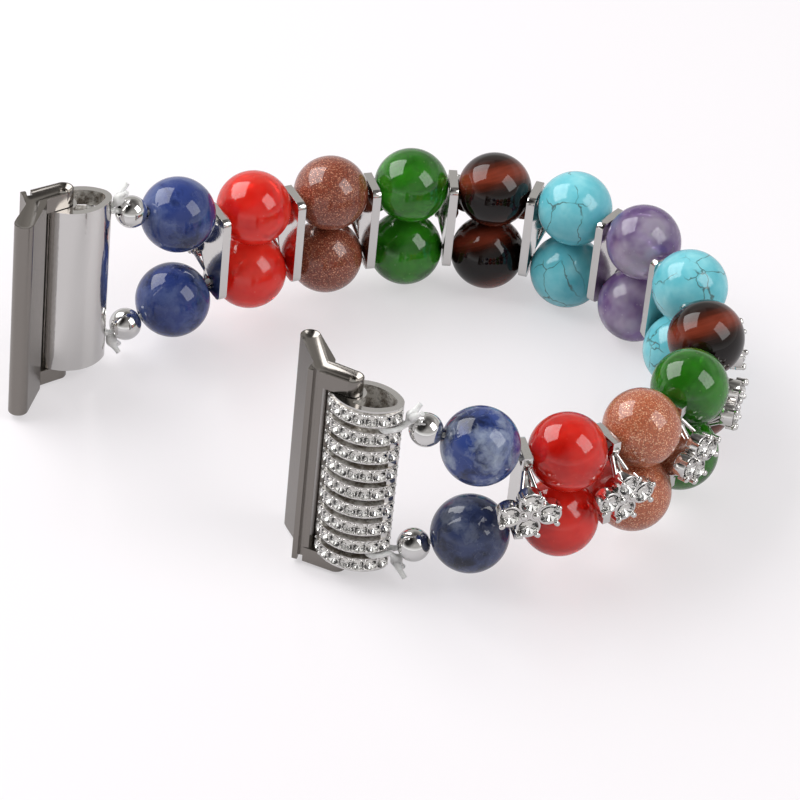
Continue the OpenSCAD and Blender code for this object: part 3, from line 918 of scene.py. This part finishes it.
@dataclass
class Spacers:
    """The flower spacers: a plate with two cord holes, and four stones in pronged cups on struts.

    Attributes:
        chain: Where they hang.
        inner: Depth of the plate towards the wrist.
        top: Half the plate's height.
        corner: Radius of its corners.
        polish: Width of the rounding of its edges.
        hole: Radius of a cord hole.
        neck: Half the neck's height.
        flat: Distance from the cord line at which the plate's full height ends.
        flank_r: Radius of the hollow flanks.
        flank_x: Distance of their middles from the cord line.
        flower: Distance of the flower's back from the cord line.
        cup: Height of the cups.
        rim: Height of the cups over the stones' girdles.
        stone: Diameter of a stone.
        wall: Wall of a cup.
        fit: Clearance of a stone in its cup.
        lip: Drop of a cup's rim, which the claws bend over.
        round_w: Width of the rounding of that rim.
        petals: Places of the stones in the flower.
        hub_x: Distance of the two balls between the stones from the flower's middle.
        hub_d: Their diameter.
        post_d: Diameter of the posts under them.
        prong: Distance of a prong from its stone's middle.
        prong_d: Diameter of a prong's tip.
        prong_turn: Angle of the prongs either side of outwards, in degrees.
        prong_from: Height over the cups' backs at which a prong's stem starts.
        claw_r: Radius of a prong's bent end, over the stone.
        claw_at: Distance of that end from the stone's middle.
        claw_up: Height of that end over the cups.
        strut_from: A strut's end at the plate.
        strut_to: Its end at the flower.
        strut_d: Its diameter.
    """

    chain: Chain
    inner: float = 3.5
    top: float = 6.35
    corner: float = 0.9
    polish: float = 0.14
    hole: float = 0.75
    neck: float = 1.9
    flat: float = 1.5
    flank_r: float = 2.4
    flank_x: float = 3.75
    flower: float = 3.2
    cup: float = 1.9
    rim: float = 0.2
    stone: float = 2.4
    wall: float = 0.35
    fit: float = 0.04
    lip: float = 0.05
    round_w: float = 0.1
    petals: tuple[Span, ...] = ((2.508, 0), (0, 1.822), (-2.508, 0), (0, -1.822))
    hub_x: float = 0.752
    hub_d: float = 1.0
    post_d: float = 1.6
    prong: float = 1.6
    prong_d: float = 0.76
    prong_turn: float = 50.0
    prong_from: float = 0.85
    claw_r: float = 0.36
    claw_at: float = 1.38
    claw_up: float = 0.06
    strut_from: Point = (0.28, 1.0, 4.3)
    strut_to: Point = (1.05, 3.5, 2.4)
    strut_d: float = 0.56

    @property
    def girdle(self) -> float:
        """Height of the stones' girdles over the flower's back."""
        return self.cup - self.rim

    def on_face(self, x: float, y: float, z: float) -> Matrix:
        """Place in the spacer of a point of the flower, with +Z away from the wrist."""
        return at(0, self.flower, 0) @ spin(-90, "X") @ at(x, y, z)

    def plate(self) -> bmesh.types.BMesh:
        """Makes the plate with rounded edges.

        Returns:
            The plate, its outline in Y and Z.
        """
        high = self.top - self.corner
        flank_z = self.neck + self.flank_r
        start = 180 - math.degrees(math.acos((self.flank_x - self.flat) / self.flank_r))
        end = 270 - math.degrees(math.asin((self.flank_x - self.flower - self.wall) / self.flank_r))
        half = (arc((self.corner - self.inner, high), self.corner, 180, 90, 5)
                + [Vector((self.flat, self.top, 0))]
                + arc((self.flank_x, flank_z), self.flank_r, start, end, 12))
        outline = half + [Vector((p.x, -p.y, 0)) for p in reversed(half)]
        holes = [ring((0, side * self.chain.row / 2), self.hole, 24) for side in (-1, 1)]
        bm = bmesh.new()
        for loop in [outline, *holes]:
            verts = [bm.verts.new((-self.chain.plate_t / 2, p.x, p.y)) for p in loop]
            for a, b in zip(verts, verts[1:] + verts[:1]):
                bm.edges.new((a, b))
        bmesh.ops.triangle_fill(bm, use_beauty=True, edges=bm.edges)
        grown = bmesh.ops.extrude_face_region(bm, geom=bm.faces[:])
        bmesh.ops.translate(bm, vec=(self.chain.plate_t, 0, 0),
                            verts=[g for g in grown["geom"] if isinstance(g, bmesh.types.BMVert)])
        bmesh.ops.recalc_face_normals(bm, faces=bm.faces)
        round_edges(bm, self.polish)
        return bm

    def cup_shape(self) -> bpy.types.Mesh:
        """Turns a cup with a rounded rim.

        Returns:
            The cup, its back at the origin and open towards +Z.
        """
        seat = self.stone / 2 + self.fit
        outer = seat + self.wall
        top = self.girdle - self.lip
        floor = top - PAVILION * self.stone
        step = self.round_w
        middle = 0.01
        profile = [(0, middle), (0, outer - step), (step, outer), (top - step, outer),
                   (top - 0.3 * step, outer - 0.5 * step), (top, outer - 1.3 * step),
                   (top - 0.3 * step, seat + 0.5 * step), (top - step, seat), (floor, seat), (floor, middle)]
        return upright("cup", turned([Vector((*p, 0)) for p in profile], 32, closed=False))

    def struts(self, metal: bmesh.types.BMesh) -> None:
        """Adds the four round bars between the plate and the flower.

        Args:
            metal: The spacer's metal so far.
        """
        ends = (self.strut_from, self.strut_to)
        for way in (-1, 1):
            for side in (-1, 1):
                first, last = (Vector((way * x, y, side * z)) for x, y, z in ends)
                bar = as_die("strut", rod(self.strut_d, (last - first).length, 14))
                stamp(metal, bar, [at(*((first + last) / 2)) @ pointing(last - first)])

    def frame(self) -> bpy.types.Mesh:
        """Makes one spacer's metal.

        Returns:
            The mesh, with the middle of the cord line at the origin.
        """
        metal = bmesh.new()
        stamp(metal, as_die("plate", self.plate()), [Matrix.Identity(4)])
        stamp(metal, self.cup_shape(), [self.on_face(x, y, 0) for x, y in self.petals])
        corners = [self.on_face(x, y, self.cup) @ spin(math.degrees(math.atan2(y, x)) + turn)
                   for x, y in self.petals for turn in (-self.prong_turn, self.prong_turn)]
        prong = domed_pin(self.prong_d / 2, self.cup - self.prong_from)
        stamp(metal, prong, [corner @ at(self.prong, 0, 0) for corner in corners])
        claw = small_ball(self.claw_r, 14, 9)
        stamp(metal, claw, [corner @ at(self.claw_at, 0, self.claw_up) for corner in corners])
        hub = small_ball(self.hub_d / 2, 16, 10)
        post = as_die("post", rod(self.post_d, self.girdle, 20))
        for die, height in ((hub, self.girdle), (post, self.girdle / 2)):
            stamp(metal, die, [self.on_face(way * self.hub_x, 0, height) for way in (-1, 1)])
        self.struts(metal)
        return as_die("spacer", metal)

    def build(self) -> None:
        """Makes every spacer's metal and stones."""
        frame = self.frame()
        for k in range(1, self.chain.pairs):
            node = f"spacer_{k}"
            place = self.chain.spacer_place(k)
            bm = bmesh.new()
            stamp(bm, frame, [place])
            finish_piece(f"spacer_frame_{k}", bm, [CASTING], node, [node])
            seats = [place @ self.on_face(x, y, self.girdle) for x, y in self.petals]
            set_stones(f"spacer_stones_{k}", self.stone, seats, node)


@dataclass
class Ends:
    """The ribbed connectors with their stones, the adapters and the pins.

    Attributes:
        chain: Where they hang.
        length: Length of a connector's oval.
        height: Its height.
        ribs: Number of ribs.
        pitch: Distance between ribs.
        arc_r: Radius of the oval's long sides.
        arc_off: Distance of their middles from the oval's.
        arc_end: Half the angle of a long side, in degrees.
        end_r: Radius of the oval's ends.
        end_off: Distance of their middles from the oval's.
        proud: Distance that a rib stands proud.
        seat: Depth of a stone's seat.
        stone: Diameter of a stone.
        stones: Number of stones in a rib.
        stone_pitch: Distance between them.
        fit: Clearance of a stone in its seat.
        bezel: Section of the thin ring round a stone, as heights over the rib and radii.
        claw_r: Radius of the little claws between the stones.
        claw_z: Distance of the claws from the rib's middle.
        claw_up: Height of the claws' middles over the rib.
        polish: Width of the rounding of a connector's edges.
        edge: Width of the rounding of an adapter's edges.
        reach: Depth from a connector's outer wall that polishing reaches.
        reach_z: Depth from its two ends that polishing reaches.
    """

    chain: Chain
    length: float = 9.255
    height: float = 25.0
    ribs: int = 9
    pitch: float = 2.8
    arc_r: float = 5.6
    arc_off: float = 2.5
    arc_end: float = 47.49
    end_r: float = 1.9
    end_off: float = 2.7276
    proud: float = 0.3
    seat: float = 0.5
    stone: float = 1.6
    stones: int = 7
    stone_pitch: float = 1.64
    fit: float = 0.04
    bezel: tuple[Span, ...] = ((-0.15, 0.8), (0.05, 0.83), (0.07, 0.88), (-0.15, 0.95))
    claw_r: float = 0.27
    claw_z: float = 0.66
    claw_up: float = 0.02
    polish: float = 0.07
    edge: float = 0.16
    reach: float = 0.6
    reach_z: float = 0.3

    def rib_place(self, level: float, from_middle: float) -> Matrix:
        """Finds a place on the outer wall of a rib.

        Args:
            level: Height over the connector's middle.
            from_middle: Distance along the wall from its middle.

        Returns:
            The place, facing out along +Z.
        """
        middle_len = self.arc_r * math.radians(self.arc_end)
        way = math.copysign(1, from_middle)
        past = max(0.0, abs(from_middle) - middle_len)
        turn = way * (min(abs(from_middle), middle_len) / self.arc_r + past / self.end_r)
        spot = Vector((way * self.end_off, 0, 0)) if past else Vector((0, -self.arc_off, 0))
        radius = self.end_r if past else self.arc_r
        spot += Vector((self.length / 2, self.proud, level))
        return at(*spot) @ spin(-math.degrees(turn)) @ at(0, radius, 0) @ spin(-90, "X")

    def buried(self, spot: Vector) -> bool:
        """Tells whether a point lies in the chamber, where polishing doesn't reach.

        Args:
            spot: The point in the connector's own place.

        Returns:
            True inside.
        """
        x = abs(spot.x - self.length / 2)
        y = abs(spot.y)
        middle = math.hypot(x, y + self.arc_off) < self.arc_r - self.reach and x < self.end_off
        end = math.hypot(x - self.end_off, y) < self.end_r - self.reach
        return (middle or end) and abs(spot.z) < self.height / 2 - self.reach_z

    def softened(self, node: str, width: float) -> bmesh.types.BMesh:
        """Copies a solid's mesh, joins its flat triangles and rounds its edges.

        Args:
            node: The solid's name.
            width: Width of the rounding in millimetres.

        Returns:
            The copy in millimetres.
        """
        bm = bmesh.new()
        bm.from_mesh(bpy.data.objects[node].data)
        bmesh.ops.transform(bm, matrix=Matrix.Scale(1 / MM, 4), verts=bm.verts)
        bmesh.ops.remove_doubles(bm, verts=bm.verts, dist=0.002)
        bmesh.ops.dissolve_limit(bm, angle_limit=math.radians(0.5), verts=bm.verts, edges=bm.edges)
        round_edges(bm, width)
        return bm

    def trim(self) -> bpy.types.Mesh:
        """Makes one rib's bezels and claws.

        Returns:
            The mesh, at the connector's middle height.
        """
        bezel = upright("bezel", turned([Vector((*p, 0)) for p in self.bezel], 14, closed=True))
        claw = small_ball(self.claw_r, 8, 5)
        bm = bmesh.new()
        stamp(bm, bezel, [self.rib_place(0, x) for x in evenly(self.stones, self.stone_pitch)])
        for x in evenly(self.stones + 1, self.stone_pitch):
            place = self.rib_place(0, x)
            stamp(bm, claw, [place @ at(0, side * self.claw_z, self.claw_up) for side in (-1, 1)])
        return as_die("trim", bm)

    def connector(self, end: str, place: Matrix, trim: bpy.types.Mesh) -> None:
        """Makes a connector's metal.

        Args:
            end: Name of its end.
            place: Its place.
            trim: One rib's bezels and claws.
        """
        node = f"{end}_connector"
        cast = self.softened(node, self.polish)
        back = place.inverted()
        # Faces in the chamber take the core finish, whose dark patches are partly painted shade.
        for face in cast.faces:
            face.material_index = int(self.buried(back @ face.calc_center_median()))
        bm = bmesh.new()
        stamp(bm, as_die("casting", cast), [Matrix.Identity(4)])
        stamp(bm, trim, [place @ at(0, 0, z) for z in evenly(self.ribs, self.pitch)])
        finish_piece(f"{end}_ribbed_tube", bm, [CASTING, CORE], node, [node])

    def build(self) -> None:
        """Makes both ends."""
        trim = self.trim()
        sunk = at(0, 0, PAVILION * self.stone + self.fit - self.seat)
        seats = [self.rib_place(z, x) @ sunk for z in evenly(self.ribs, self.pitch)
                 for x in evenly(self.stones, self.stone_pitch)]
        for way, end in ENDS:
            place = self.chain.end_place(way)
            self.connector(end, place, trim)
            set_stones(f"{end}_rib_stones", self.stone, [place @ seat for seat in seats],
                       f"{end}_connector", [f"{end}_stones"])
            node = f"{end}_adapter"
            finish_piece(f"{end}_adapter_bar", self.softened(node, self.edge), [STEEL], node, [node])
            solid = bpy.data.objects[f"{end}_pin"]
            solid.data.materials.clear()
            solid.data.materials.append(PIN.material())


@dataclass
class Cords:
    """The two elastic cords, one piece for each link.

    Attributes:
        chain: The way that they run.
        radius: Radius of the cord.
        knot: Extra radius of a knot.
        steps: Number of steps of a link's line.
        lap: Distance inside the end ball at which a tied end starts.
        tie: Points of a tied end in its connector's place, with the share of the knot's radius.
        tail: Points of the knot's second tail.
    """

    chain: Chain
    radius: float = 0.35
    knot: float = 0.46
    steps: int = 9
    lap: float = 0.3
    tie: tuple[Quad, ...] = (
        (-1.9, -0.7, 3, 0), (-1.6, -0.4, 2.5, 0), (-1.4, -0.1, 2.2, 0.2), (-1.25, 0.1, 1.8, 1),
        (-1.15, 0.25, 1.35, 1), (-1, 0.45, 0.95, 0.6), (-0.8, 0.65, 0.6, 0), (-0.3, 0.8, 0, 0),
        (0.1, 1.5, 0, 0), (0.7, 2.1, 0, 0), (1.4, 2.5, 0, 0), (2.1, 2.3, 0, 0), (2.5, 1.5, 0, 0),
        (2.2, 0.6, 0, 0), (1.5, 0.1, 0, 0), (0.4, 0, 0, 0))
    tail: tuple[Quad, ...] = (
        (-1.1, 0.3, 1.2, 0.5), (-1.3, 0.6, 1.7, 0.5), (-1.8, 0.9, 2.2, 0), (-2.3, 1.1, 2.6, 0),
        (-2.7, 1.2, 3.1, 0))

    def tube(self, name: str, lines: Sequence[tuple[Sequence[Vector], Sequence[float]]]) -> bpy.types.Object:
        """Makes a round tube along each line of points in millimetres.

        Args:
            name: The piece's name.
            lines: For each line, the points of its middle and its radius at each.

        Returns:
            A mesh object in metres.
        """
        curve = bpy.data.curves.new(name, "CURVE")
        curve.dimensions = "3D"
        curve.bevel_depth = MM
        curve.bevel_resolution = 3
        curve.use_fill_caps = True
        for points, radii in lines:
            spline = curve.splines.new("NURBS")
            spline.points.add(len(points) - 1)
            for knot, spot, radius in zip(spline.points, points, radii):
                knot.co = (*(spot * MM), 1)
                knot.radius = radius
            spline.order_u = 4
            spline.use_endpoint_u = True
            spline.resolution_u = 4
        source = in_scene(name + "_line", curve)
        bpy.context.view_layer.update()
        mesh = bpy.data.meshes.new_from_object(source.evaluated_get(bpy.context.evaluated_depsgraph_get()))
        bpy.data.objects.remove(source)
        mesh.materials.clear()
        mesh.materials.append(CORD.material())
        mesh.shade_smooth()
        obj = in_scene(name, mesh)
        return obj

    def link(self, k: int, side: int, row: str) -> bpy.types.Object:
        """Makes the straight cord through pair k, between the pieces on both sides of it.

        Args:
            k: Number of the pair.
            side: 1 for the upper row, -1 for the lower.
            row: The row's name.

        Returns:
            The piece.
        """
        chain = self.chain
        last = chain.pairs
        back = chain.reach(k - 1) if k > 1 else chain.exit_x
        front = chain.reach(k) if k < last else chain.exit_x
        slant = 1 / math.cos(math.radians(chain.fan(k)))
        places = [slant * (-back + (back + front) * i / self.steps) for i in range(self.steps + 1)]
        line = [chain.bead_place(k, side) @ Vector((x, 0, 0)) for x in places]
        obj = self.tube(f"elastic_{row}_link_{k}", [(line, [self.radius] * len(line))])
        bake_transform(obj)
        return obj

    def ends(self, side: int, row: str) -> None:
        """Makes a row's two tied ends.

        Args:
            side: 1 for the upper row, -1 for the lower.
            row: The row's name.
        """
        chain = self.chain
        for way, end in ENDS:
            k = chain.last(way)
            place = chain.end_place(way)
            lines = []
            for route in (self.tie, self.tail):
                points = [place @ Vector((x, y, -way * side * (chain.slit_z + z))) for x, y, z, _ in route]
                lines.append((points, [self.radius + self.knot * share for *_, share in route]))
            mouth = way * (chain.exit_x - self.lap) / math.cos(math.radians(chain.fan(k)))
            lines[0][0].append(chain.bead_place(k, side) @ Vector((mouth, 0, 0)))
            lines[0][1].append(self.radius)
            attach(self.tube(f"elastic_{row}_{end}_tie", lines), f"{end}_connector")

    def build(self) -> None:
        """Makes the links and the tied ends, and hides each row's cord solid."""
        for side, row in ROWS:
            links = [self.link(k, side, row) for k in range(1, self.chain.pairs + 1)]
            self.ends(side, row)
            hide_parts(f"elastic_{row}")


@dataclass
class Studio:
    """The camera, the lamps, the floor and the room.

    Attributes:
        chain: The band, whose first pair the camera and the floor are measured from.
        eye: Place of the camera in millimetres.
        spot: A point of the floor in millimetres.
        pitch: How far it looks down, in degrees.
        roll: Its turn about its own axis, in degrees.
        focal: Its focal length in pixels of the frame.
        frame: Width of the frame in pixels.
        sensor: Width of the sensor in millimetres.
        rise: Direction in which the floor faces.
        glow: Share of the floor's look that the lamps don't change, in the camera and in mirrors.
        lamp_far: Distance of the lamps in metres.
        ambient: Level of the light from all around.
        dim_way: Direction of the room's dim side, which polished metal mirrors.
        dim_edge: Cosines of the angles from it at which the dim side starts and is full.
        dim_level: Level of the dim side.
    """

    chain: Chain
    eye: Point = (-10.385, -400.632, 325.11)
    spot: Point = (-21.279, 9.375, -0.05)
    pitch: float = 36.619
    roll: float = 5.985
    focal: float = 4101.4
    frame: int = 800
    sensor: float = 36.0
    rise: Point = (-0.04977, -0.06396, 0.99671)
    glow: Span = (0.5, 0.6)
    lamp_far: float = 0.45
    ambient: float = 0.35
    dim_way: Point = (-0.55, -0.45, 0.70)
    dim_edge: Span = (0.72, 0.92)
    dim_level: float = 0.08

    def from_pair(self, spot: Point) -> Matrix:
        """Place in metres of a point in millimetres, measured from the first pair."""
        return at(*((self.chain.offset() + Vector(spot)) * MM))

    def camera(self) -> None:
        """Makes the camera at the photograph's angle."""
        data = bpy.data.cameras.new("camera")
        data.sensor_width = self.sensor
        data.lens = self.focal / self.frame * self.sensor
        data.clip_start = 0.01
        cam = in_scene("camera", data)
        cam.matrix_world = self.from_pair(self.eye) @ spin(90 - self.pitch, "X") @ spin(self.roll)
        bpy.context.scene.camera = cam

    def lamp(self, name: str, way: Point, size: Span, strength: float) -> None:
        """Makes a soft box that faces the band.

        Args:
            name: Its name.
            way: Direction from the band to the lamp.
            size: Width and height in metres.
            strength: Radiance of its face.
        """
        data = bpy.data.lights.new(name, "AREA")
        data.shape = "RECTANGLE"
        data.size, data.size_y = size
        data.energy = strength * math.pi * size[0] * size[1]
        aim = Vector(way).normalized()
        spot = Vector((0.0, 0.0, 0.01)) + aim * self.lamp_far
        in_scene(name, data).matrix_world = at(*spot) @ pointing(aim)

    def shown(self, tree: Tree) -> Node:
        """Adds the test for rays that come from the camera, a mirror or a glass.

        Args:
            tree: The node tree.

        Returns:
            The node, which gives 1 for such a ray.
        """
        path = add(tree, "LightPath").outputs
        through = add(tree, "Math", {0: path["Is Glossy Ray"], 1: path["Is Transmission Ray"]},
                      operation="MAXIMUM")
        return add(tree, "Math", {0: through, 1: path["Is Camera Ray"]}, operation="MAXIMUM")

    def floor(self) -> None:
        """Makes the pale floor, tilted as the band lies on it."""
        bm = bmesh.new()
        bmesh.ops.create_grid(bm, x_segments=8, y_segments=8, size=1.5)
        mesh = as_die("floor", bm)
        obj = in_scene("floor", mesh)
        turn = Vector((0, 0, 1)).rotation_difference(Vector(self.rise)).to_matrix().to_4x4()
        obj.matrix_world = self.from_pair(self.spot) @ turn
        made = bpy.data.materials.new("pale_floor")
        tree = blank(made)
        shader = add(tree, "BsdfPrincipled", {"Base Color": linear("#f3eff2"), "Roughness": 0.25,
                                              "Specular IOR Level": 0.4})
        mirrored = add(tree, "LightPath").outputs["Is Glossy Ray"]
        tone = mixed(tree, mirrored, linear("#fffcfe"), linear("#c4c2c4"))
        pale = add(tree, "Emission", {0: tone, 1: 1.0})
        share = times(tree, self.shown(tree), mapped(tree, mirrored, (0.0, 1.0), self.glow))
        add(tree, "OutputMaterial", {0: add(tree, "MixShader", {0: share, 1: shader, 2: pale})})
        mesh.materials.append(made)

    def room(self) -> None:
        """Makes the white background, the ceiling and dim side in mirrors, and the cards in glass."""
        world = bpy.data.worlds.new("room")
        bpy.context.scene.world = world
        tree = blank(world)
        white = linear("#ffffff")
        path = add(tree, "LightPath").outputs
        way = add(tree, "TexCoord").outputs["Generated"]
        rise = add(tree, "SeparateXYZ", {0: way}).outputs[2]
        walls = ramp(tree, rise, [(0.0, "#ffffff"), (0.06, "#f1f0ef"), (0.3, "#b2b0ad"), (0.6, "#b8b6b3"),
                                  (0.9, "#6a6866")])
        towards = add(tree, "VectorMath", {0: way, 1: Vector(self.dim_way).normalized()},
                      operation="DOT_PRODUCT").outputs["Value"]
        dim = mapped(tree, towards, self.dim_edge, (1.0, self.dim_level))
        boards = add(tree, "TexVoronoi", {"Vector": way, "Scale": 1.7}).outputs["Color"]
        board = add(tree, "SeparateColor", {0: boards}).outputs[1]
        high = mapped(tree, rise, (0.25, 0.45))
        patch = mixed(tree, high, white, mapped(tree, board, (0.2, 0.7), (0.7, 1.3)))
        panelled = mixed(tree, 1.0, walls, patch, "MULTIPLY")
        mirrored = mixed(tree, 1.0, panelled, dim, "MULTIPLY")
        cells = add(tree, "TexVoronoi", {"Vector": way, "Scale": 2.6}).outputs["Color"]
        cards = ramp(tree, add(tree, "SeparateColor", {0: cells}),
                     [(0.1, "#2e2d2c"), (0.25, "#8c8a88"), (0.42, "#f7f6f5"), (1.0, "#ffffff")])
        inside = mixed(tree, path["Is Transmission Ray"], mirrored, cards)
        seen = mixed(tree, path["Is Camera Ray"], inside, white)
        light = add(tree, "Background", {0: white, 1: self.ambient})
        look = add(tree, "Background", {0: seen, 1: 1.0})
        add(tree, "OutputWorld", {0: add(tree, "MixShader", {0: self.shown(tree), 1: light, 2: look})})

    def build(self) -> None:
        """Makes the whole studio."""
        self.camera()
        self.lamp("left_box", (-0.67, 0.19, 0.70), (0.42, 0.34), 4.5)
        self.lamp("right_box", (0.68, -0.25, 0.66), (0.26, 0.32), 3.5)
        self.floor()
        self.room()
        bpy.context.scene.view_settings.view_transform = "Standard"


def main() -> None:
    """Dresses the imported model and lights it."""
    logging.basicConfig(level=logging.INFO)
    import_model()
    chain = Chain()
    Studio(chain).build()
    Beads(chain).build()
    Spacers(chain).build()
    Ends(chain).build()
    Cords(chain).build()


if __name__ == "__main__":
    main()
